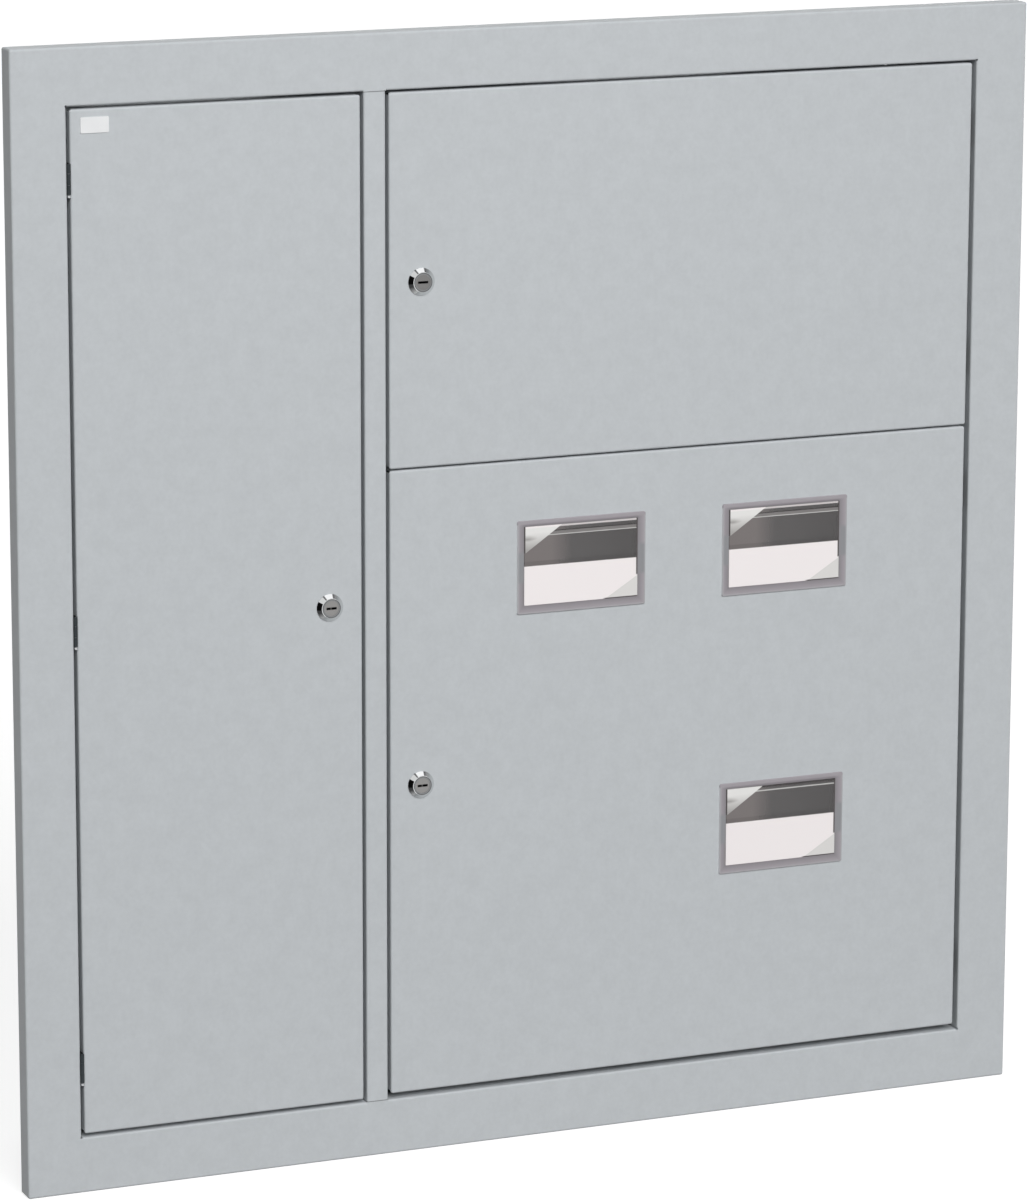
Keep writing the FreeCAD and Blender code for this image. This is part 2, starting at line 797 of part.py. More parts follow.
def spread_within(span, margin, pitch):
    """Places a pitch apart, about the middle of a span, as many as fit between its margins."""
    count = int((span[1] - span[0] - 2 * margin) / pitch) + 1
    return [middle(span) + (k - (count - 1) / 2) * pitch for k in range(count)]


def low_current_panel():
    face = -low_panel_standoff
    panel = folded_pan(low_panel_x, low_panel_z, face, back_plate, panel_sheet)
    through = (face - past, face + panel_sheet + past)
    slots = []
    for slot_x in spread_within(low_panel_x, low_slot_margin_x, low_slot_pitch_x):
        for slot_z in spread_within(low_panel_z, low_slot_margin_z, low_slot_pitch_z):
            slots.append(slot_y(slot_x, slot_z, low_slot_length, low_slot_width, through))
    return one(panel.cut(Part.makeCompound(slots)))


# Meter panel

meter_panel_x = (mullion_right + meter_panel_left_gap, inside_right - meter_panel_right_gap)
meter_panel_z = (-inside_top + meter_panel_bottom_gap, split - meter_panel_top_gap)


def meter_panel():
    face = -meter_panel_standoff
    panel = folded_pan(meter_panel_x, meter_panel_z, face, back_plate, panel_sheet)
    through = (face - past, face + panel_sheet + past)
    slots = []
    for x, z in window_places:
        upper_z = z + meter_slot_rise
        slots.append(slot_y(x, upper_z, meter_slot_length, meter_slot_width, through, upright=True))
        for side in (-1, 1):
            slot_x = x + side * meter_slot_spread
            slots.append(slot_y(slot_x, z - meter_slot_drop, meter_slot_length, meter_slot_width, through))
    return one(panel.cut(Part.makeCompound(slots)))


# Top-hat rails and their brackets

rail_x = (partition_x[1] + rail_left_gap, inside_right - rail_right_gap)
rail_places = [middle(upper_door_z) + rail_pitch / 2, middle(upper_door_z) - rail_pitch / 2]
fascia_face = front + fascia_setback
rail_front = fascia_face + fascia_to_rail
rail_back = rail_front + rail_depth


def din_rail(z):
    crown_y = (rail_back - rail_sheet, rail_back)
    lip_y = (rail_front, rail_front + rail_sheet)
    rail = block(rail_x, crown_y, around(z, rail_crown))
    for side in (-1, 1):
        wall_z = sorted((z + side * rail_crown / 2, z + side * (rail_crown / 2 - rail_sheet)))
        lip_z = sorted((z + side * rail_height / 2, z + side * (rail_crown / 2 - rail_sheet)))
        rail = rail.fuse(block(rail_x, (lip_y[0], crown_y[1]), wall_z))
        rail = rail.fuse(block(rail_x, lip_y, lip_z))
    through = (crown_y[0] - past, crown_y[1] + past)
    slot_xs = spread_within(rail_x, bracket_width + rail_slot_length, rail_slot_pitch)
    slots = [slot_y(x, z, rail_slot_length, rail_slot_width, through) for x in slot_xs]
    return one(rail.cut(Part.makeCompound(slots)))


def rail_bracket(z, side):
    """A Z-shaped strip from the back plate to the end of a rail."""
    end = rail_x[1] if side > 0 else rail_x[0]
    web_x = sorted((end - side * bracket_width, end - side * (bracket_width - bracket_sheet)))
    foot_x = sorted((end - side * bracket_width, end - side * (bracket_width + bracket_foot)))
    top_x = sorted((end, end - side * bracket_width))
    height = around(z, rail_crown)
    web = block(web_x, (rail_back, back_plate), height)
    foot = block(foot_x, (back_plate - bracket_sheet, back_plate), height)
    top = block(top_x, (rail_back, rail_back + bracket_sheet), height)
    return one(web.fuse(foot).fuse(top))


# Fascia, with its standoffs and screws

fascia_x = meter_panel_x
fascia_z = (split + fascia_bottom_gap, inside_top - fascia_top_gap)
fascia_screw_places = [
    (x, z)
    for x in (fascia_x[0] + standoff_inset, fascia_x[1] - standoff_inset)
    for z in (fascia_z[0] + standoff_inset, fascia_z[1] - standoff_inset)
]


def fascia():
    panel = folded_pan(fascia_x, fascia_z, fascia_face, fascia_face + fascia_flange, door_sheet)
    through = (fascia_face - past, fascia_face + door_sheet + past)
    slot_x = (rail_x[0] + fascia_slot_inset, rail_x[1] - fascia_slot_inset)
    for z in rail_places:
        panel = panel.cut(rounded_plate(slot_x, through, around(z, fascia_slot_height), bend_radius))
    for x, z in fascia_screw_places:
        panel = panel.cut(rod_y(x, z, fascia_screw_radius + fascia_hole_clearance, through))
    return one(panel)


def fascia_standoff(x, z):
    length = (fascia_face + door_sheet, back_plate)
    hole_y = (length[0] - past, length[0] + fascia_screw_length)
    hole = rod_y(x, z, fascia_screw_radius + running_clearance, hole_y)
    return hexagon_y(x, z, standoff_across, length).cut(hole)


def fascia_screw(x, z):
    shank_y = (fascia_face, fascia_face + fascia_screw_length)
    shank = rod_y(x, z, fascia_screw_radius, shank_y)
    head_y = (fascia_face - fascia_screw_head_height, fascia_face)
    head = rod_y(x, z, fascia_screw_head_radius, head_y)
    head = head.makeChamfer(fascia_screw_chamfer, flat_edges(head, head_y[0]))
    slot_y_span = (head_y[0] - past, head_y[0] + fascia_screw_slot_depth)
    slot = block(around(x, 3 * fascia_screw_head_radius), slot_y_span, around(z, fascia_screw_slot_width))
    return one(shank.fuse(head).cut(slot))


# Neutral and earth bars on the meter panel, where no window is

bar_middle_x = window_places[0][0]
bar_places = {
    "neutral_bar": window_places[2][1] + bar_pitch / 2,
    "earth_bar": window_places[2][1] - bar_pitch / 2,
}
bar_y = (-meter_panel_standoff - insulator_depth - bar_thickness, -meter_panel_standoff - insulator_depth)


def bar_screw_xs():
    first = bar_middle_x - (bar_screw_count - 1) / 2 * bar_screw_pitch
    return [first + k * bar_screw_pitch for k in range(bar_screw_count)]


def terminal_bar(z):
    bar = block(around(bar_middle_x, bar_length), bar_y, around(z, bar_width))
    hole_radius = bar_screw_radius + running_clearance
    hole_y = (bar_y[0] - past, bar_y[1] - bar_hole_floor)
    return bar.cut(Part.makeCompound([rod_y(x, z, hole_radius, hole_y) for x in bar_screw_xs()]))


def bar_screw(x, z):
    shank = rod_y(x, z, bar_screw_radius, (bar_y[0], bar_y[1] - 2 * bar_hole_floor))
    head_y = (bar_y[0] - bar_screw_head_height, bar_y[0])
    head = rod_y(x, z, bar_screw_head_radius, head_y)
    slot_y_span = (head_y[0] - past, head_y[0] + bar_screw_slot_depth)
    slot = block(around(x, 3 * bar_screw_head_radius), slot_y_span, around(z, bar_screw_slot_width))
    return one(shank.fuse(head).cut(slot))


def insulator(x, z):
    deep = (bar_y[1], -meter_panel_standoff)
    return rounded_plate(around(x, insulator_width), deep, around(z, insulator_height), bend_radius)


# Earth studs on the back plate

stud_places = [
    (-inside_right + stud_from_wall, -inside_top + stud_from_wall),
    (inside_right - stud_from_wall, -inside_top + stud_from_wall),
]


def earth_stud(x, z):
    stud = rod_y(x, z, stud_radius, (back_plate - stud_length, back_plate))
    collar = hexagon_y(x, z, 2 * stud_collar_radius, (back_plate - stud_collar_height, back_plate))
    return one(stud.fuse(collar))


# Making and saving the pieces

pieces = {
    "front_frame": [front_frame()],
    "mullion": [mullion()],
    "back_shell": [back_shell()],
    "partition": [partition()],
    "partition_flanges": partition_flanges(),
    "shelf": [shelf()],
    "shelf_flanges": shelf_flanges(),
    "left_door": [left_door()],
    "upper_door": [upper_door()],
    "meter_door": [meter_door()],
    "blank_badge": [blank_badge()],
    "low_current_panel": [low_current_panel()],
    "meter_panel": [meter_panel()],
    "fascia": [fascia()],
    "fascia_standoffs": [fascia_standoff(*place) for place in fascia_screw_places],
    "fascia_screws": [fascia_screw(*place) for place in fascia_screw_places],
    "rail_brackets": [rail_bracket(z, side) for z in rail_places for side in (-1, 1)],
    "earth_studs": [earth_stud(*place) for place in stud_places],
    "hinge_pins": [barrel_pin(z) for z in left_hinge_places],
}
for number, z in enumerate(left_hinge_places, 1):
    pieces[f"left_hinge_frame_leaf_{number}"] = [barrel_leaf(z, -1)]
    pieces[f"left_hinge_door_leaf_{number}"] = [barrel_leaf(z, 1)]
concealed = {
    "upper": (upper_door_x, hinge_places(upper_door_z, upper_hinge_from_end)),
    "meter": (meter_door_x, hinge_places(meter_door_z, meter_hinge_from_end)),
}
for name, (door_x, places) in concealed.items():
    for number, z in enumerate(places, 1):
        pieces[f"{name}_hinge_frame_leaf_{number}"] = [concealed_frame_leaf(door_x, z)]
        pieces[f"{name}_hinge_door_leaf_{number}"] = [concealed_door_leaf(door_x, z)]
        pieces["hinge_pins"].append(concealed_pin(door_x, z))
for name, place in lock_places.items():
    pieces[f"{name}_lock_housing"] = [lock_housing(*place)]
    pieces[f"{name}_lock_nut"] = [lock_nut(*place)]
    pieces[f"{name}_lock_barrel"] = [lock_barrel(*place, keyholes[name])]
    pieces[f"{name}_lock_cam"] = [lock_cam(*place)]
    pieces[f"{name}_cam_screw"] = [cam_screw(*place)]
for number, place in enumerate(window_places, 1):
    pieces[f"window_frame_{number}"] = [window_frame(*place)]
    pieces[f"window_pane_{number}"] = [window_pane(*place)]
for number, z in enumerate(rail_places, 1):
    pieces[f"din_rail_{number}"] = [din_rail(z)]
pieces["bar_screws"] = []
pieces["bar_insulators"] = []
for name, z in bar_places.items():
    pieces[name] = [terminal_bar(z)]
    pieces["bar_screws"] += [bar_screw(x, z) for x in bar_screw_xs()]
    ends = around(bar_middle_x, bar_length - insulator_width)
    pieces["bar_insulators"] += [insulator(x, z) for x in ends]

os.makedirs("parts", exist_ok=True)
for name, shapes in pieces.items():
    solids = [solid for shape in shapes for solid in shape.Solids]
    shape = solids[0] if len(solids) == 1 else Part.makeCompound(solids)
    state = "valid" if shape.isValid() else "NOT VALID"
    print(name, len(solids), "solids", round(shape.Volume), "mm3", state)
    shape.exportStep(f"parts/{name}.step")
print(len(pieces), "nodes")
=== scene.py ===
import json
import math

import bmesh
import bpy
from bpy.props import FloatProperty, FloatVectorProperty, PointerProperty
from bpy.types import Operator, Panel, PropertyGroup
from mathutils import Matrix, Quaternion, Vector

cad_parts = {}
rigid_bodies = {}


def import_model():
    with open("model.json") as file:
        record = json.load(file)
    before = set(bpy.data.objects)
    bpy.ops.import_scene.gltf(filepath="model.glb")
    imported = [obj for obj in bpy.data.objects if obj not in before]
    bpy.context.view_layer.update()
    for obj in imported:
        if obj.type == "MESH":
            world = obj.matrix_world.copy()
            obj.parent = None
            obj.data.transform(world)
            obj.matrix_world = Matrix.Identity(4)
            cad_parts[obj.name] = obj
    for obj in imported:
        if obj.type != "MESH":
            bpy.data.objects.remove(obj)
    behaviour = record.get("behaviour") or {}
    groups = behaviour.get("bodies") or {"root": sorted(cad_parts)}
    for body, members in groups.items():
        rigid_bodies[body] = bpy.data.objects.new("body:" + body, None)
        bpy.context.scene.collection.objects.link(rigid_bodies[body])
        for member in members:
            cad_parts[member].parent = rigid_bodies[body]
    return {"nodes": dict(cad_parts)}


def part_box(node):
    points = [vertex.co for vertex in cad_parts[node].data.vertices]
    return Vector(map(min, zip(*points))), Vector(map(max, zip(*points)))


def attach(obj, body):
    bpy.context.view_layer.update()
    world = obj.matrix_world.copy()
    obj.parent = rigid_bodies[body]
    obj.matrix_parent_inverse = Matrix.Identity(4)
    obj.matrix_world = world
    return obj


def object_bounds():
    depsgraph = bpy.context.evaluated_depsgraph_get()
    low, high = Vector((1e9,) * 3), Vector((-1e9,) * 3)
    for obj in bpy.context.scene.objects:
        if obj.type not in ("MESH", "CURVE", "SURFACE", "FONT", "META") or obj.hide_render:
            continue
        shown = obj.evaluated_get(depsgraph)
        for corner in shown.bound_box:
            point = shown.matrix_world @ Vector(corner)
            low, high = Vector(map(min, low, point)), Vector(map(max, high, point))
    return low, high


bl_info = {
    "name": "Electric meter box",
    "version": (1, 0, 0),
    "blender": (4, 5, 0),
    "location": "View3D > Sidebar > Meter Box",
    "description": "Finishes, small details and studio of a flush electric meter box",
    "category": "Object",
}

for leftover in list(bpy.data.objects):
    bpy.data.objects.remove(leftover)
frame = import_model()
cad_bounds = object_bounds()
NODES = frame["nodes"]

MM = 0.001
DOORS = ("left", "upper", "meter")


def linear(red, green, blue):
    """A colour as a screen shows it, 0 to 255, as the light that it stands for."""
    shares = [channel / 255 for channel in (red, green, blue)]
    return tuple(s / 12.92 if s <= 0.04045 else ((s + 0.055) / 1.055) ** 2.4 for s in shares)


def scaled(colour, amount):
    """The same colour, lighter or darker."""
    return tuple(channel * amount for channel in colour[:3])


def under_gloss(colour, gloss):
    """A colour less the light that the gloss over it adds."""
    return tuple(max(channel - gloss, 0.001) for channel in colour)


# Where painted light and shade lie on the window panes, as shares of a pane's width from its left edge or of
# its height from its top edge
WARM_TO_DARK = (0.24, 0.42)
DARK_TO_RIGHT = (0.5, 1.0)
SHADE_OVER_SHEET = 0.06
RAIL_SHADOW = (0.066, 0.078)
RAIL = (0.078, 0.126)
RAIL_GLINT = (0.117, 0.126)
TOP_SHADE = (0.0, 0.02)
TOP_GLINT = (0.052, 0.066)
# Painted highlight line along the top of a pane
TOP_HIGHLIGHT_LINE = (0.018, 0.026)
SOFT_EDGE = 0.006
# Painted highlights: a triangle at the top left with a streak in it, and a triangle at the bottom right
FLASH_WIDTH, FLASH_HEIGHT = 0.33, 0.345
STREAK_DOWN, STREAK_SHARPNESS = 0.16, 16
CORNER_HIGHLIGHT_WIDTH, CORNER_HIGHLIGHT_HEIGHT = 0.285, 0.27
# How far down the painted white sheet begins on each pane, and whether a painted rail shows over it
WINDOW_VIEWS = {1: (0.503, True), 2: (0.512, True), 3: (0.448, False)}


# Shader arithmetic


class Value:
    """A shader socket in plain arithmetic. Each operation adds its Math node."""

    def __init__(self, tree, socket):
        self.tree = tree
        self.socket = socket

    def math(self, operation, *terms):
        node = self.tree.nodes.new("ShaderNodeMath")
        node.operation = operation
        for place, term in zip(node.inputs, terms):
            plug(self.tree, place, term)
        return Value(self.tree, node.outputs[0])

    def __add__(self, other):
        return self.math("ADD", self, other)

    __radd__ = __add__

    def __sub__(self, other):
        return self.math("SUBTRACT", self, other)

    def __rsub__(self, other):
        return self.math("SUBTRACT", other, self)

    def __mul__(self, other):
        return self.math("MULTIPLY", self, other)

    __rmul__ = __mul__

    def __truediv__(self, other):
        return self.math("DIVIDE", self, other)

    def __rtruediv__(self, other):
        return self.math("DIVIDE", other, self)

    def __pow__(self, other):
        return self.math("POWER", self, other)

    def __rpow__(self, other):
        return self.math("POWER", other, self)

    def __abs__(self):
        return self.math("ABSOLUTE", self)

    def least(self, other):
        return self.math("MINIMUM", self, other)

    def most(self, other):
        return self.math("MAXIMUM", self, other)

    def held(self):
        """Kept from 0 to 1."""
        return self.most(0.0).least(1.0)

    def ramp(self, start, end):
        """0 at start and 1 at end, straight between."""
        return ((self - start) * (1 / (end - start))).held()

    def band(self, start, end, soft):
        """1 from start to end and 0 outside, with soft edges this wide."""
        return self.ramp(start - soft / 2, start + soft / 2) * (1 - self.ramp(end - soft / 2, end + soft / 2))


def plug(tree, place, item):
    """Gives a socket its link or its number."""
    if isinstance(item, Value):
        tree.links.new(item.socket, place)
    elif place.type == "RGBA":
        place.default_value = (*item[:3], 1.0)
    else:
        place.default_value = item


class Finish:
    """A material while it is mixed: its nodes, and the surface shader that they feed."""

    def __init__(self, name, constants):
        self.material = bpy.data.materials.new(name)
        self.material.use_nodes = True
        self.tree = self.material.node_tree
        self.tree.nodes.clear()
        self.surface = self.tree.nodes.new("ShaderNodeBsdfPrincipled")
        out = self.tree.nodes.new("ShaderNodeOutputMaterial")
        self.tree.links.new(self.surface.outputs[0], out.inputs["Surface"])
        self.feed(constants)

    def feed(self, inputs):
        for name, item in inputs.items():
            plug(self.tree, self.surface.inputs[name], item)

    def node(self, kind, settings, inputs, output=0):
        """Adds a node: its settings first, then the values or links of its sockets."""
        return add_node(self.tree, kind, settings, inputs, output)

    def place(self):
        """Where a point of the piece is, in metres, as three values."""
        spot = self.node("ShaderNodeTexCoord", {}, {}, "Object")
        return [self.node("ShaderNodeSeparateXYZ", {}, {0: spot}, axis) for axis in "XYZ"]

    def noise(self, size, detail, stretch=(1.0, 1.0, 1.0)):
        """Even noise from 0 to 1 whose lumps are about this size, in metres, and longer by stretch."""
        spot = self.node("ShaderNodeTexCoord", {}, {}, "Object")
        scale = tuple(1 / (size * longer) for longer in stretch)
        spot = self.node("ShaderNodeVectorMath", {"operation": "MULTIPLY"}, {0: spot, 1: scale})
        return self.node("ShaderNodeTexNoise", {}, {"Vector": spot, "Scale": 1.0, "Detail": detail})

    def mix(self, share, first, second):
        """A colour between two others."""
        settings = {"data_type": "RGBA"}
        return self.node("ShaderNodeMix", settings, {0: share, 6: first, 7: second}, 2)

    def bump(self, height, depth, strength=1.0):
        """The normal over a height from 0 to 1 that is this deep, in metres."""
        inputs = {"Height": height, "Distance": depth, "Strength": strength}
        return self.node("ShaderNodeBump", {}, inputs)


def add_node(tree, kind, settings, inputs, output=0):
    node = tree.nodes.new(kind)
    for name, setting in settings.items():
        setattr(node, name, setting)
    for name, item in inputs.items():
        plug(tree, node.inputs[name], item)
    return Value(tree, node.outputs[output])


def dress(finish, *names):
    """Puts a finish on nodes of the frame."""
    for name in names:
        for slot in NODES[name].material_slots:
            slot.material = finish.material


def dress_like(finish, start):
    """Puts a finish on every node whose name starts this way."""
    names = [name for name in NODES if name.startswith(start)]
    if not names:
        raise RuntimeError(f"no node is named {start}")
    dress(finish, *names)


def new_piece(name, mesh_builder, body, finish):
    """Makes a piece from a bmesh and lets it ride on a body."""
    mesh = bpy.data.meshes.new(name)
    mesh_builder.to_mesh(mesh)
    mesh_builder.free()
    piece = bpy.data.objects.new(name, mesh)
    bpy.context.scene.collection.objects.link(piece)
    mesh.materials.append(finish.material)
    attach(piece, body)
    return piece


# Finishes


def powder_coat(name, colour, look, seams=()):
    """Baked powder paint on steel: even colour with faint clouds, a finely dimpled skin, thin dark seams."""
    finish = Finish(name, {"IOR": 1.45})
    broad = finish.noise(look.cloud_size * 3, 1.0)
    clouds = finish.noise(look.cloud_size, 2.0)
    flecks = finish.noise(look.cloud_size / 3, 2.0)
    share = (broad * 0.08 + clouds * 0.47 + flecks * 0.45).ramp(0.35, 0.65)
    light, dark = scaled(colour, 1 + look.cloud_depth), scaled(colour, 1 - look.cloud_depth)
    skin = finish.noise(look.grain_size, 2.0)
    paint = finish.mix(share, dark, light)
    for height in seams:
        from_seam = abs(finish.place()[2] - height)
        paint = finish.mix(1 - from_seam.ramp(0.2 * MM, 0.9 * MM), paint, scaled(colour, 0.4))
    finish.feed({
        "Base Color": paint,
        "Roughness": look.roughness - 0.06 + 0.12 * flecks,
        "Normal": finish.bump(skin, look.grain_depth),
    })
    return finish


def plated_steel(name, colour, roughness, patch_size):
    """Zinc or nickel on steel: soft patches of tone and a fine matt tooth."""
    finish = Finish(name, {"Metallic": 1.0})
    patches = finish.noise(patch_size, 3.0)
    tooth = finish.noise(0.35 * MM, 2.0)
    finish.feed({
        "Base Color": finish.mix(patches.ramp(0.3, 0.7), scaled(colour, 0.88), scaled(colour, 1.08)),
        "Roughness": (roughness - 0.08) + 0.16 * patches,
        "Normal": finish.bump(tooth, 0.012 * MM),
    })
    return finish


def drawn_metal(name, colour, roughness, along):
    """Metal drawn or rolled to a bar: fine lines along it."""
    finish = Finish(name, {"Metallic": 1.0})
    stretch = tuple(40.0 if axis == along else 1.0 for axis in "XYZ")
    lines = finish.noise(0.3 * MM, 2.0, stretch)
    tone = finish.noise(18 * MM, 2.0)
    finish.feed({
        "Base Color": finish.mix(tone.ramp(0.3, 0.7), scaled(colour, 0.85), scaled(colour, 1.1)),
        "Roughness": (roughness - 0.07) + 0.14 * lines,
        "Normal": finish.bump(lines, 0.01 * MM),
    })
    return finish


def lock_chrome(door, look):
    """Polished bezel. Its cone mirrors the room, with painted reflections in bands over it, and the ring in
    its face is satin, with a painted shade line in it.
    """
    finish = Finish(f"{door}_bezel_chrome", {"Metallic": 1.0})
    low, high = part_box(f"{door}_lock_housing")
    centre = (low + high) / 2
    x, y, z = finish.place()
    from_axis = ((x - centre.x) ** 2 + (z - centre.z) ** 2) ** 0.5
    turn = (centre.x - x).math("ARCTAN2", centre.x - x, z - centre.z) * (180 / math.pi)
    on_front = 1 - y.ramp(low.y + look.cone_depth, low.y + look.cone_depth + 0.05 * MM)
    on_cone = on_front * from_axis.ramp(look.face_radius, look.face_radius + 0.02 * MM)
    on_ring = on_front * (1 - on_cone) * (1 - y.ramp(low.y + 0.02 * MM, low.y + 0.04 * MM))
    # Painted reflections in the cone, in bands by the angle from the top towards the left
    fading_in = turn.ramp(-48, -12) * (1 - turn.ramp(-11, -7))
    painted_reflections = finish.mix(fading_in, look.chrome_colour, look.shade_colour)
    painted_reflections = finish.mix(turn.band(-9, 27, 5), painted_reflections, look.highlight_colour)
    painted_reflections = finish.mix(turn.band(27, 34, 4), painted_reflections, look.shade_colour)
    painted_reflections = finish.mix(turn.ramp(60, 62) * (1 - turn.ramp(112, 172)), painted_reflections, look.dark_band_colour)
    painted_reflections = finish.mix(0.35 * turn.band(-170, -60, 20), painted_reflections, look.highlight_colour)
    painted_reflections = finish.mix(turn.band(61, 98, 4), painted_reflections, look.black_band_colour)
    # Painted highlight: a light edge round the front of the cone
    edge = from_axis.band(look.face_radius, look.face_radius + 0.5 * MM, 0.1 * MM)
    painted_reflections = finish.mix(edge, painted_reflections, look.chrome_colour)
    grain = finish.noise(0.4 * MM, 2.0)
    satin = finish.mix(grain, scaled(look.ring_colour, 0.9), scaled(look.ring_colour, 1.1))
    # Painted shade in a groove of the ring
    groove_shade = from_axis.band(look.face_radius - 0.7 * MM, look.face_radius - 0.1 * MM, 0.2 * MM)
    satin = finish.mix(groove_shade, satin, scaled(look.ring_colour, 0.45))
    colour = finish.mix(on_cone, look.chrome_colour, painted_reflections)
    finish.feed({
        "Base Color": finish.mix(on_ring, colour, satin),
        "Roughness": 0.1 + 0.04 * grain + 0.2 * on_ring,
        "Normal": finish.bump(grain, 0.001 * MM),
    })
    return finish


def lock_face(door, look):
    """Turned face of a lock's barrel: fine rings, and painted shade inside and round its keyhole."""
    finish = Finish(f"{door}_barrel_satin", {"Metallic": 1.0})
    low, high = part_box(f"{door}_lock_barrel")
    centre = lock_axis(door)
    x, y, z = finish.place()
    from_axis = ((x - centre.x) ** 2 + (z - centre.z) ** 2) ** 0.5
    across, up = x - centre.x, z - centre.z
    settings = {"noise_dimensions": "1D"}
    inputs = {"W": from_axis / (0.4 * MM), "Scale": 1.0, "Detail": 1.0}
    rings = finish.node("ShaderNodeTexNoise", settings, inputs)
    # Painted shade: black on the keyhole's walls, and a black margin round the slot on the face, half as dark
    # at the bridge
    inside = y.band(low.y + 0.15 * MM, low.y + 4.3 * MM, 0.1 * MM)
    inside = inside * (1 - from_axis.ramp(5.8 * MM, 5.9 * MM))
    painted_slit_shade = (1 - abs(up).ramp(0.95 * MM, 1.15 * MM)) * (1 - abs(across).ramp(4.6 * MM, 4.8 * MM))
    beside_bridge = abs(across + 0.6 * MM).ramp(0.2 * MM, 0.6 * MM)
    keyhole = inside.most(painted_slit_shade * (0.5 + 0.5 * beside_bridge))
    tone = look.barrel_colour if door != "upper" else scaled(look.barrel_colour, 0.77)
    plain = finish.mix(rings.ramp(0.3, 0.7), scaled(tone, 0.92), scaled(tone, 1.08))
    finish.feed({
        "Base Color": finish.mix(keyhole, plain, look.black_band_colour),
        "Roughness": 0.3 + 0.06 * rings,
        "Normal": finish.bump(rings, 0.004 * MM),
    })
    return finish


def moulded_plastic(name, colour, roughness, grain_depth):
    """Moulded plastic: a fine even grain and a hardly seen change of tone."""
    finish = Finish(name, {"IOR": 1.48})
    grain = finish.noise(0.5 * MM, 2.0)
    tone = finish.noise(12 * MM, 2.0)
    finish.feed({
        "Base Color": finish.mix(tone, scaled(colour, 0.95), scaled(colour, 1.05)),
        "Roughness": (roughness - 0.04) + 0.08 * grain,
        "Normal": finish.bump(grain, grain_depth),
    })
    return finish


def window_shares(finish, pane):
    """Where a point is on a pane: its share of the width from the left and of the height from the top."""
    low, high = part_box(pane)
    x, y, z = finish.place()
    return (x - low.x) / (high.x - low.x), (high.z - z) / (high.z - low.z)


def window_glass(number, look, horizon, rail_line):
    """A clear pane whose colour paints a view: painted shade of a dark room above, a painted white sheet
    below, and painted highlights on two corners.
    """
    pane = f"window_pane_{number}"
    finish = Finish(f"window_glass_{number}", {"IOR": look.glass_ior, "Roughness": look.glass_roughness})
    across, down = window_shares(finish, pane)
    gloss = look.glass_gloss
    # Tones of the painted view: painted dark room (warm, dark, right), painted shade (deep), a painted rail,
    # a painted white sheet, painted highlights (flash, flash_low, corner)
    shade = {
        "warm": under_gloss(linear(143, 137, 136), gloss),
        "dark": under_gloss(linear(114, 112, 112), gloss),
        "right": under_gloss(linear(106, 104, 104), gloss),
        "deep": under_gloss(linear(92, 88, 88), gloss),
        "rail": under_gloss(linear(150, 147, 146), gloss),
        "white": under_gloss(linear(246, 240, 240), gloss),
        "flash": under_gloss(linear(233, 232, 230), gloss),
        "flash_low": under_gloss(linear(156, 153, 151), gloss),
        "corner": under_gloss(linear(223, 221, 219), gloss),
    }

    plain = finish.mix(across.ramp(*DARK_TO_RIGHT), shade["dark"], shade["right"])
    colour = finish.mix(across.ramp(*WARM_TO_DARK), shade["warm"], plain)
    # Painted shade just above the white sheet
    painted_shade_over_sheet = down.band(horizon - SHADE_OVER_SHEET, horizon, 2 * SOFT_EDGE)
    colour = finish.mix(0.16 * painted_shade_over_sheet, colour, (0.0,) * 3)
    if rail_line:
        # Painted shadow over a painted rail, with a painted glint on the rail
        colour = finish.mix(down.band(*RAIL_SHADOW, SOFT_EDGE), colour, scaled(shade["deep"], 0.5))
        colour = finish.mix(down.band(*RAIL, SOFT_EDGE), colour, shade["rail"])
        colour = finish.mix(down.band(*RAIL_GLINT, SOFT_EDGE / 2), colour, shade["flash"])
    else:
        # Painted shade at the top, with a painted glint below it
        colour = finish.mix(down.band(*TOP_SHADE, SOFT_EDGE), colour, shade["deep"])
        colour = finish.mix(down.band(*TOP_GLINT, SOFT_EDGE), colour, shade["flash"])
    below = down.ramp(horizon - SOFT_EDGE / 2, horizon + SOFT_EDGE / 2)
    colour = finish.mix(below, colour, shade["white"])

    # Painted highlight: a light triangle at the top left, with a brighter streak in it
    flash_edge = across / FLASH_WIDTH + down / FLASH_HEIGHT
    flash = 1 - flash_edge.ramp(0.99, 1.01)
    streak = (1 - abs(down - STREAK_DOWN) * STREAK_SHARPNESS).held() * (1 - across.ramp(0.04, 0.16))
    fade = (streak * 0.9).most(down.ramp(0.08, 0.3) * 0.85)
    flash_colour = finish.mix(fade, shade["flash"], shade["flash_low"])
    colour = finish.mix(flash, colour, flash_colour)
    # Painted highlight: a light triangle at the bottom right
    corner_highlight_edge = (1 - across) / CORNER_HIGHLIGHT_WIDTH + (1 - down) / CORNER_HIGHLIGHT_HEIGHT
    corner = 1 - corner_highlight_edge.ramp(0.99, 1.01)
    colour = finish.mix(corner, colour, shade["corner"])
    if rail_line:
        # Painted highlight line along the top
        colour = finish.mix(1 - down.ramp(*TOP_HIGHLIGHT_LINE), colour, shade["white"])
    # Painted shade lines along the pane's inner edges
    left_shade_line = (1 - across.ramp(0.006, 0.012)) * (1 - down.ramp(0.33, 0.35))
    right_shade_line = across.ramp(0.985, 0.992) * (1 - down.ramp(0.71, 0.73))
    low_shade_line = down.ramp(0.986, 0.992) * across.ramp(0.69, 0.72)
    lines = left_shade_line.most(right_shade_line).most(low_shade_line)
    colour = finish.mix(lines, colour, shade["deep"])

    clear = (1 - below) * (1 - flash) * (1 - lines)
    finish.feed({"Base Color": colour, "Alpha": 1 - look.glass_clearness * clear})
    return finish


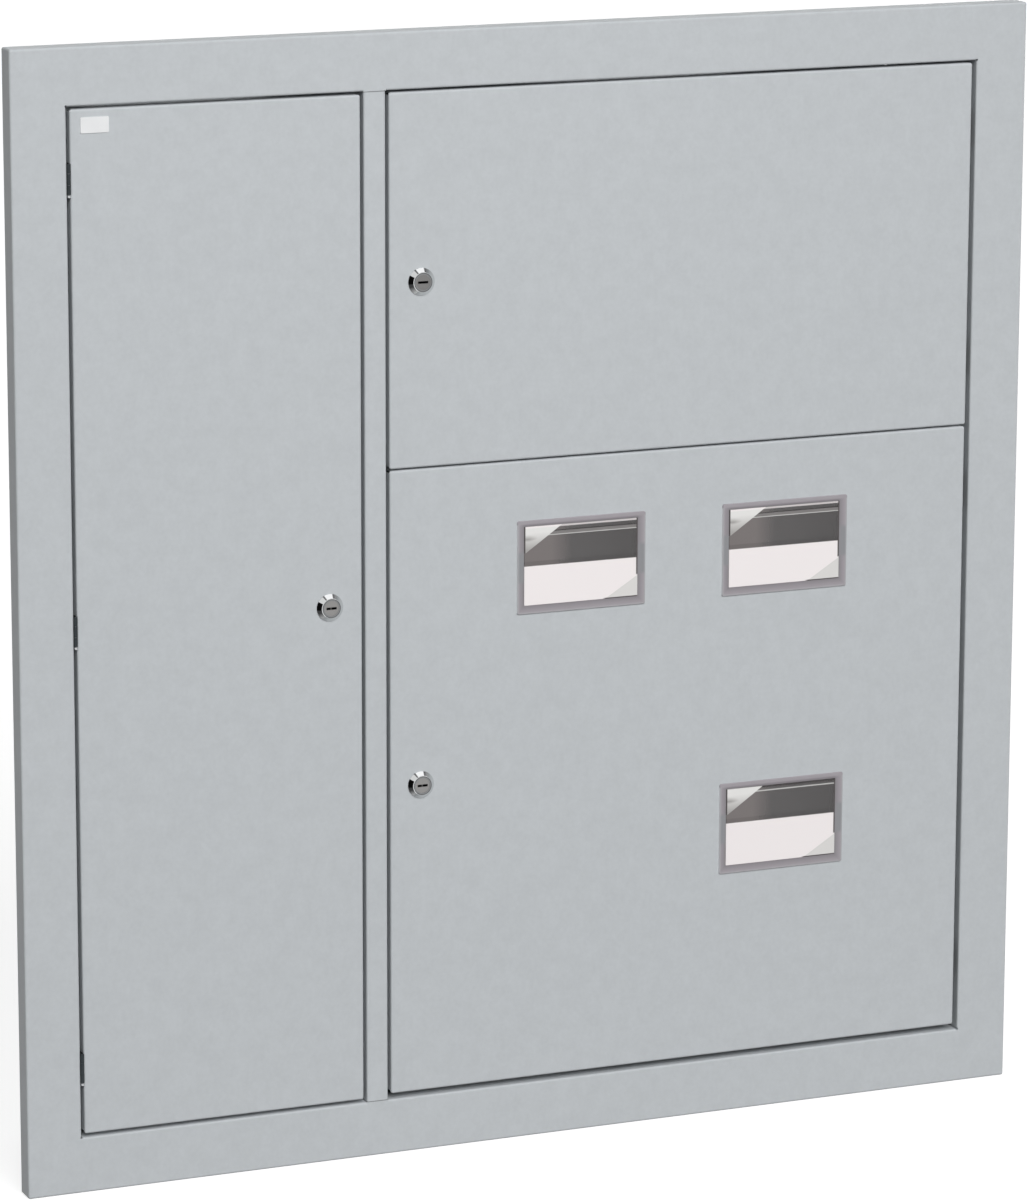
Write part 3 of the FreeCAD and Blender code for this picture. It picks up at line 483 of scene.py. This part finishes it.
def window_plastic(number, look):
    """The smoky insert round a pane, darker at its sides where its clips stand behind it and lighter towards
    its thin outer edge, with painted shade next to the pane and painted light on its outer side walls.
    """
    finish = Finish(f"window_insert_{number}", {"IOR": 1.48, "Roughness": look.insert_roughness})
    low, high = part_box(f"window_frame_{number}")
    across, down = window_shares(finish, f"window_frame_{number}")
    clip = (1 - abs(down - 0.5).ramp(0.14, 0.18)) * abs(across - 0.5).ramp(0.42, 0.46)
    in_from_side = (0.5 - abs(across - 0.5)) * (high.x - low.x)
    in_from_end = (0.5 - abs(down - 0.5)) * (high.z - low.z)
    below_top = down.ramp(0.03, 0.05)
    inner = in_from_side.least(in_from_end).ramp(-0.4 * MM, look.edge_fade)
    # Painted light on the outer side walls, which lie in shade
    painted_light_on_rim = (1 - in_from_side.least(in_from_end).ramp(0.0, 0.1 * MM)) * below_top
    # Painted shade next to the pane
    pane_low, pane_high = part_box(f"window_pane_{number}")
    x, y, z = finish.place()
    beside = (pane_low.x - x).most(x - pane_high.x).most(pane_low.z - z)
    painted_shade_by_pane = (1 - beside.ramp(-1 * MM, 6 * MM)) * below_top
    grain = finish.noise(0.5 * MM, 2.0)
    tone = finish.noise(10 * MM, 2.0)
    plain = finish.mix(tone, scaled(look.insert_colour, 0.96), scaled(look.insert_colour, 1.04))
    plain = finish.mix(painted_shade_by_pane, plain, scaled(look.insert_colour, 0.62))
    plain = finish.mix(clip, plain, look.clip_colour)
    edged = finish.mix(inner.most(1 - below_top), look.edge_colour, plain)
    finish.feed({
        "Base Color": finish.mix(painted_light_on_rim, edged, look.rim_colour),
        "Normal": finish.bump(grain, 0.01 * MM),
    })
    return finish


# Sizes and colours that a user would change


def colour_property(name, description, default):
    return FloatVectorProperty(
        name=name, description=description, default=default, size=3, min=0.0, max=1.0, subtype="COLOR"
    )


def length_property(name, description, default):
    return FloatProperty(
        name=name, description=description, default=default, precision=5, unit="LENGTH", subtype="DISTANCE"
    )


def share_property(name, description, default):
    return FloatProperty(
        name=name, description=description, default=default, min=0.0, max=4.0, subtype="FACTOR"
    )


def angle_property(name, description, degrees):
    return FloatProperty(
        name=name, description=description, default=math.radians(degrees), unit="ROTATION", subtype="ANGLE"
    )


class MeterBoxPaint(PropertyGroup):
    front_colour: colour_property("Front", "Paint of the frame and the doors", linear(188, 192, 195))
    shell_colour: colour_property("Shell", "Paint of shell, partition and shelf", linear(182, 186, 189))
    panel_colour: colour_property("Panels", "Paint of the panels and the fascia", linear(205, 207, 208))
    roughness: share_property("Roughness", "How dull the paint is", 0.5)
    cloud_size: length_property("Cloud size", "Size of the faint clouds in the paint", 12 * MM)
    cloud_depth: share_property("Cloud depth", "How much lighter and darker the clouds are", 0.036)
    grain_size: length_property("Grain size", "Size of the dimples of the paint's skin", 1.3 * MM)
    grain_depth: length_property("Grain depth", "Depth of the dimples of the paint's skin", 0.03 * MM)


class MeterBoxWindows(PropertyGroup):
    insert_colour: colour_property("Insert colour", "Smoky plastic round the panes", linear(156, 151, 156))
    clip_colour: colour_property("Clip colour", "The plastic before the clips", linear(137, 138, 141))
    edge_colour: colour_property("Edge colour", "The plastic at its thin outer edge", linear(172, 172, 175))
    edge_fade: length_property("Edge fade", "How wide the thin outer edge is", 2.2 * MM)
    # Painted light on the inserts' outer side walls, which lie in shade
    rim_colour: colour_property("Rim colour", "Cut edge that light comes through", linear(232, 233, 235))
    insert_roughness: share_property("Insert roughness", "How dull the insert is", 0.4)
    glass_ior: share_property("Pane index", "Index of refraction of the panes", 1.45)
    glass_roughness: share_property("Pane roughness", "How dull the panes are", 0.06)
    glass_gloss: share_property("Pane gloss", "Light that the gloss adds to a pane", 0.035)
    glass_clearness: share_property("Pane clearness", "How far the dark part of a pane is see-through", 0.3)


class MeterBoxMetals(PropertyGroup):
    # The chrome colours below paint reflections in bands on the bezels' cones; the black also paints shade in
    # the keyholes
    chrome_colour: colour_property("Chrome", "Bright plating of the lock bezels", (0.62, 0.63, 0.63))
    highlight_colour: colour_property("Chrome highlight", "Lightest band in the chrome", (0.90, 0.91, 0.92))
    shade_colour: colour_property("Chrome shade", "Thin dark bands in the chrome", (0.10, 0.10, 0.105))
    dark_band_colour: colour_property("Dark band", "Broad dark band in the chrome", (0.045, 0.046, 0.048))
    black_band_colour: colour_property("Black", "Darkest band, and the keyholes", (0.003, 0.003, 0.003))
    ring_colour: colour_property("Lock ring", "Satin ring round the lock barrels", (0.235, 0.24, 0.245))
    barrel_colour: colour_property("Lock face", "Satin face of the lock barrels", (0.275, 0.27, 0.265))
    face_radius: length_property("Lock face radius", "From a lock's axis to its bezel's cone", 8.4 * MM)
    cone_depth: length_property("Cone depth", "From the face of a bezel to the end of its cone", 4.7 * MM)
    steel_colour: colour_property("Hinge pins", "Steel of the hinge pins", (0.55, 0.56, 0.57))
    # The leaves' dark colour is dark plating, made darker still as painted shade of the door gap they stand
    # in
    leaf_colour: colour_property("Hinge leaves", "Dark plating of the leaves", (0.045, 0.052, 0.056))
    zinc_colour: colour_property("Zinc", "Zinc plate of rails, brackets and screws", (0.64, 0.65, 0.65))
    brass_colour: colour_property("Brass", "Brass of the neutral and earth bars", (0.72, 0.53, 0.24))
    thread_radius: length_property("Thread radius", "Radius of a lock's body under its thread", 9 * MM)
    thread_pitch: length_property("Thread pitch", "From one turn of the thread to the next", 1 * MM)
    thread_depth: length_property("Thread depth", "How far the thread stands out", 0.28 * MM)


class MeterBoxPlastics(PropertyGroup):
    badge_colour: colour_property("Badge", "The blank badge plate", linear(228, 229, 230))
    insulator_colour: colour_property("Insulators", "Stand-offs under the bars", linear(38, 84, 150))
    cap_colour: colour_property("Screw caps", "Knobs of the fascia's screws", linear(38, 38, 40))


class MeterBoxStudio(PropertyGroup):
    azimuth: angle_property("Azimuth", "Camera's angle round the box", -22.735)
    elevation: angle_property("Elevation", "Camera's angle above the box", 12.605)
    roll: angle_property("Roll", "Camera's turn round its view", 0.135)
    distance: length_property("Distance", "From the camera to the front of the box", 4.8986)
    aim_right: length_property("Aim right", "Camera's aim right of the middle", -20.6 * MM)
    aim_up: length_property("Aim up", "Camera's aim above the middle", -5.2 * MM)
    lens: FloatProperty(name="Lens", description="Focal length", default=167.267, unit="CAMERA")
    key_level: share_property("Key level", "How bright the main lamp makes a white sheet", 0.76)
    key_elevation: angle_property("Key elevation", "Main lamp's angle above", 32)
    key_azimuth: angle_property("Key azimuth", "Main lamp's angle round the box", -4)
    key_size: angle_property("Key size", "How wide the main lamp looks", 45)
    sky_level: share_property("Sky level", "How bright the room round the box is", 0.27)
    ceiling_share: share_property("Ceiling share", "How bright the ceiling is beside the room", 0.25)
    floor_colour: share_property("Floor", "How pale the floor is", 0.45)
    floor_glow: share_property("Floor glow", "Light through the floor, where it is looked at", 0.77)
    floor_bounce: share_property("Floor bounce", "How pale the floor is for light it sends back", 0.2)
    floor_reach: length_property("Floor reach", "From the middle of the floor to its edge", 14.0)
    top_level: share_property("Top lamp", "Light of the soft lamp before the top edge", 0.17)
    top_elevation: angle_property("Top lamp elevation", "Top lamp's angle above", 36)
    top_azimuth: angle_property("Top lamp azimuth", "Top lamp's angle round the box", -4)
    top_distance: length_property("Top lamp distance", "From the top lamp to the box", 1.9)
    top_width: length_property("Top lamp width", "How wide the top lamp is", 1.2)
    back_level: share_property("Back lamp", "How bright the lamp behind makes a white sheet", 0.55)
    back_elevation: angle_property("Back lamp elevation", "Back lamp's angle above", 5)
    back_azimuth: angle_property("Back lamp azimuth", "Back lamp's angle round the box", 150)
    back_size: angle_property("Back lamp size", "How wide the back lamp looks", 22.5)
    sun_distance: length_property("Sun distance", "From the main and back lamps to the box", 6.0)


# Pieces


def lock_axis(door):
    """Middle of a door's lock, seen from the front."""
    low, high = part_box(f"{door}_lock_housing")
    return (low + high) / 2


def thread_mesh(centre, start, end, radius, depth, pitch):
    """A ridge that winds round an axis from front to back."""
    steps = 48
    turns = (end - start - pitch) / pitch
    builder = bmesh.new()
    rows = []
    for step in range(int(steps * turns) + 1):
        angle = 2 * math.pi * step / steps
        y = start + pitch * step / steps
        fade = min(1.0, step / steps, (steps * turns - step) / steps)
        row = []
        for out, along in ((-0.02 * MM, 0.0), (depth * fade, pitch / 2), (-0.02 * MM, pitch)):
            reach = radius + out
            spot = (centre.x + reach * math.cos(angle), y + along, centre.z + reach * math.sin(angle))
            row.append(builder.verts.new(spot))
        rows.append(row)
    for first, second in zip(rows, rows[1:]):
        for edge in range(2):
            builder.faces.new((first[edge], first[edge + 1], second[edge + 1], second[edge]))
    bmesh.ops.recalc_face_normals(builder, faces=builder.faces)
    return builder


class METERBOX_OT_sheet_metal(Operator):
    """Paints the folded sheets: frame, doors, shell and mounting panels"""

    bl_idname = "meterbox.sheet_metal"
    bl_label = "Sheet metal"

    def execute(self, context):
        look = context.scene.meter_box_paint
        front = powder_coat("front_coat", look.front_colour, look)
        shell = powder_coat("shell_coat", look.shell_colour, look)
        panel = powder_coat("panel_coat", look.panel_colour, look)
        ends = [corner.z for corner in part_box("mullion")]
        dress(front, "front_frame", *(f"{door}_door" for door in DOORS))
        dress(powder_coat("mullion_coat", look.front_colour, look, ends), "mullion")
        dress(shell, "back_shell")
        dress_like(shell, "partition")
        dress_like(shell, "shelf")
        dress(panel, "low_current_panel", "meter_panel", "fascia")
        return {"FINISHED"}


class METERBOX_OT_hinges(Operator):
    """Finishes the hinge pins and leaves"""

    bl_idname = "meterbox.hinges"
    bl_label = "Hinges"

    def execute(self, context):
        look = context.scene.meter_box_metals
        pins = drawn_metal("pin_steel", look.steel_colour, 0.28, "Z")
        # Dark plated leaves, their colour darker still as painted shade of the door gap
        leaves = plated_steel("leaf_plate_and_shade", look.leaf_colour, 0.42, 6 * MM)
        dress(pins, "hinge_pins")
        for hinge in ("left_hinge", "upper_hinge", "meter_hinge"):
            dress_like(leaves, f"{hinge}_frame_leaf")
            dress_like(leaves, f"{hinge}_door_leaf")
        return {"FINISHED"}


class METERBOX_OT_locks(Operator):
    """Finishes the cam locks and winds the thread on their bodies"""

    bl_idname = "meterbox.locks"
    bl_label = "Locks"

    def execute(self, context):
        look = context.scene.meter_box_metals
        zinc = plated_steel("lock_zinc", look.zinc_colour, 0.38, 5 * MM)
        for door in DOORS:
            axis = lock_axis(door)
            bezel = lock_chrome(door, look)
            dress(bezel, f"{door}_lock_housing")
            dress(lock_face(door, look), f"{door}_lock_barrel")
            dress(zinc, f"{door}_lock_nut", f"{door}_lock_cam", f"{door}_cam_screw")
            back_of_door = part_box(f"{door}_lock_nut")[0].y
            end_of_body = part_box(f"{door}_lock_housing")[1].y
            ridge = thread_mesh(
                axis, back_of_door, end_of_body, look.thread_radius, look.thread_depth, look.thread_pitch
            )
            new_piece(f"{door}_lock_thread", ridge, f"{door}_door", bezel)
        return {"FINISHED"}


class METERBOX_OT_windows(Operator):
    """Finishes the inspection windows: smoky inserts and their panes"""

    bl_idname = "meterbox.windows"
    bl_label = "Windows"

    def execute(self, context):
        look = context.scene.meter_box_windows
        for number, (horizon, rail_line) in WINDOW_VIEWS.items():
            dress(window_glass(number, look, horizon, rail_line), f"window_pane_{number}")
            dress(window_plastic(number, look), f"window_frame_{number}")
        return {"FINISHED"}


class METERBOX_OT_badge(Operator):
    """Finishes the blank badge plate"""

    bl_idname = "meterbox.badge"
    bl_label = "Badge"

    def execute(self, context):
        look = context.scene.meter_box_plastics
        dress(moulded_plastic("badge_plate", look.badge_colour, 0.32, 0.004 * MM), "blank_badge")
        return {"FINISHED"}


class METERBOX_OT_fittings(Operator):
    """Finishes the rails, brackets, stand-offs, screws and studs inside"""

    bl_idname = "meterbox.fittings"
    bl_label = "Inner fittings"

    def execute(self, context):
        metals = context.scene.meter_box_metals
        plastics = context.scene.meter_box_plastics
        rails = drawn_metal("rail_zinc", metals.zinc_colour, 0.36, "X")
        zinc = plated_steel("fitting_zinc", metals.zinc_colour, 0.4, 8 * MM)
        caps = moulded_plastic("cap_plastic", plastics.cap_colour, 0.45, 0.02 * MM)
        dress_like(rails, "din_rail")
        dress(zinc, "rail_brackets", "fascia_standoffs", "earth_studs")
        dress(caps, "fascia_screws")
        return {"FINISHED"}


class METERBOX_OT_terminals(Operator):
    """Finishes the neutral and earth bars with their insulators and screws"""

    bl_idname = "meterbox.terminals"
    bl_label = "Terminal bars"

    def execute(self, context):
        metals = context.scene.meter_box_metals
        plastics = context.scene.meter_box_plastics
        brass = drawn_metal("bar_brass", metals.brass_colour, 0.3, "X")
        zinc = plated_steel("screw_zinc", metals.zinc_colour, 0.3, 3 * MM)
        blue = moulded_plastic("insulator_plastic", plastics.insulator_colour, 0.4, 0.02 * MM)
        dress(brass, "neutral_bar", "earth_bar")
        dress(zinc, "bar_screws")
        dress(blue, "bar_insulators")
        return {"FINISHED"}


def stage_sheet(name, corners, material):
    """A flat sheet of the studio through four corners."""
    builder = bmesh.new()
    builder.faces.new([builder.verts.new(corner) for corner in corners])
    mesh = bpy.data.meshes.new(name)
    builder.to_mesh(mesh)
    builder.free()
    sheet = bpy.data.objects.new(name, mesh)
    bpy.context.scene.collection.objects.link(sheet)
    mesh.materials.append(material)
    return sheet


def looked_at(tree):
    """1 for rays that look at a thing straight on, in gloss or through glass, and 0 for light on its way."""
    rays = [
        add_node(tree, "ShaderNodeLightPath", {}, {}, name)
        for name in ("Is Camera Ray", "Is Glossy Ray", "Is Transmission Ray")
    ]
    return (rays[0] + rays[1] + rays[2]).least(1.0)


def floor_finish(look):
    """Pale studio floor, lit from below too, with less light sent back on the box than it shows."""
    finish = Finish("floor_sheet", {"Roughness": 0.9, "IOR": 1.2, "Emission Strength": 1.0})
    looked = looked_at(finish.tree)
    pale = (look.floor_colour,) * 3
    bounced = (look.floor_bounce,) * 3
    glow = (look.floor_glow,) * 3
    finish.feed({
        "Base Color": finish.mix(looked, bounced, pale),
        "Emission Color": finish.mix(looked, (0.0,) * 3, glow),
    })
    return finish


class METERBOX_OT_studio(Operator):
    """Sets up the floor, lamps, room light and camera"""

    bl_idname = "meterbox.studio"
    bl_label = "Studio"

    def execute(self, context):
        look = context.scene.meter_box_studio
        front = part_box("front_frame")[0].y
        self.set_floor(look, cad_bounds[0].z)
        self.set_room(context, look)
        self.set_lamps(context, look)
        self.set_camera(context, look, front)
        context.scene.view_settings.view_transform = "Standard"
        return {"FINISHED"}

    def set_floor(self, look, height):
        reach = look.floor_reach
        ways = ((-1, -1), (1, -1), (1, 1), (-1, 1))
        corners = [(right * reach, back * reach, height) for right, back in ways]
        stage_sheet("studio_floor", corners, floor_finish(look).material)

    def set_room(self, context, look):
        world = bpy.data.worlds.new("studio_room")
        context.scene.world = world
        world.use_nodes = True
        tree = world.node_tree
        tree.nodes.clear()
        way = add_node(tree, "ShaderNodeTexCoord", {}, {}, "Generated")
        up = add_node(tree, "ShaderNodeSeparateXYZ", {}, {0: way}, "Z")
        level = look.sky_level * (1 - (1 - look.ceiling_share) * up.ramp(0.2, 0.85))
        room = add_node(tree, "ShaderNodeBackground", {}, {"Color": (1.0,) * 3, "Strength": level})
        white = add_node(tree, "ShaderNodeBackground", {}, {"Color": (1.0,) * 3, "Strength": 1.0})
        seen = add_node(tree, "ShaderNodeMixShader", {}, {0: looked_at(tree), 1: room, 2: white})
        out = tree.nodes.new("ShaderNodeOutputWorld")
        tree.links.new(seen.socket, out.inputs["Surface"])

    def set_lamps(self, context, look):
        key = self.sun("key_lamp", look.key_level, look.key_size)
        self.hang(context, "key_lamp", key, look.key_azimuth, look.key_elevation, look.sun_distance)
        top = bpy.data.lights.new("top_lamp", "AREA")
        top.shape = "DISK"
        top.size = look.top_width
        top.energy = look.top_level * math.pi ** 2 * look.top_distance ** 2
        self.hang(context, "top_lamp", top, look.top_azimuth, look.top_elevation, look.top_distance)
        back = self.sun("back_lamp", look.back_level, look.back_size)
        self.hang(context, "back_lamp", back, look.back_azimuth, look.back_elevation, look.sun_distance)

    def sun(self, name, level, size):
        """A lamp that makes a white sheet which faces it this bright, and looks this wide."""
        lamp = bpy.data.lights.new(name, "SUN")
        lamp.energy = math.pi * level
        lamp.angle = size
        return lamp

    def hang(self, context, name, lamp, azimuth, elevation, distance):
        """Hangs a lamp that points at the middle of the box. Gloss and polish show the room, not the lamp."""
        back = direction(azimuth, elevation)
        holder = bpy.data.objects.new(name, lamp)
        holder.location = back * distance
        holder.rotation_mode = "QUATERNION"
        holder.rotation_quaternion = (-back).to_track_quat("-Z", "Y")
        holder.visible_glossy = False
        context.scene.collection.objects.link(holder)

    def set_camera(self, context, look, front):
        camera = bpy.data.cameras.new("studio_camera")
        camera.lens = look.lens
        camera.clip_end = 100.0
        back = direction(look.azimuth, look.elevation)
        holder = bpy.data.objects.new("studio_camera", camera)
        holder.location = Vector((look.aim_right, front, look.aim_up)) + back * look.distance
        holder.rotation_mode = "QUATERNION"
        turn = Quaternion((0.0, 0.0, 1.0), look.roll)
        holder.rotation_quaternion = (-back).to_track_quat("-Z", "Y") @ turn
        context.scene.collection.objects.link(holder)
        context.scene.camera = holder


def direction(azimuth, elevation):
    """From the box towards something seen at these angles."""
    level = math.cos(elevation)
    return Vector((math.sin(azimuth) * level, -math.cos(azimuth) * level, math.sin(elevation)))


GROUPS = {
    "meter_box_paint": MeterBoxPaint,
    "meter_box_windows": MeterBoxWindows,
    "meter_box_metals": MeterBoxMetals,
    "meter_box_plastics": MeterBoxPlastics,
    "meter_box_studio": MeterBoxStudio,
}
STEPS = (
    METERBOX_OT_sheet_metal,
    METERBOX_OT_hinges,
    METERBOX_OT_locks,
    METERBOX_OT_windows,
    METERBOX_OT_badge,
    METERBOX_OT_fittings,
    METERBOX_OT_terminals,
    METERBOX_OT_studio,
)


class METERBOX_PT_sidebar(Panel):
    """Lists the steps that finish the box"""

    bl_idname = "METERBOX_PT_sidebar"
    bl_label = "Meter Box"
    bl_space_type = "VIEW_3D"
    bl_region_type = "UI"
    bl_category = "Meter Box"

    def draw(self, context):
        for step in STEPS:
            self.layout.operator(step.bl_idname)


def register():
    for group in GROUPS.values():
        bpy.utils.register_class(group)
    for name, group in GROUPS.items():
        setattr(bpy.types.Scene, name, PointerProperty(type=group))
    for step in STEPS:
        bpy.utils.register_class(step)
    bpy.utils.register_class(METERBOX_PT_sidebar)


def unregister():
    bpy.utils.unregister_class(METERBOX_PT_sidebar)
    for step in reversed(STEPS):
        bpy.utils.unregister_class(step)
    for name in GROUPS:
        delattr(bpy.types.Scene, name)
    for group in reversed(GROUPS.values()):
        bpy.utils.unregister_class(group)


def main():
    register()
    for step in STEPS:
        area, name = step.bl_idname.split(".")
        getattr(getattr(bpy.ops, area), name)()


if __name__ == "__main__":
    main()
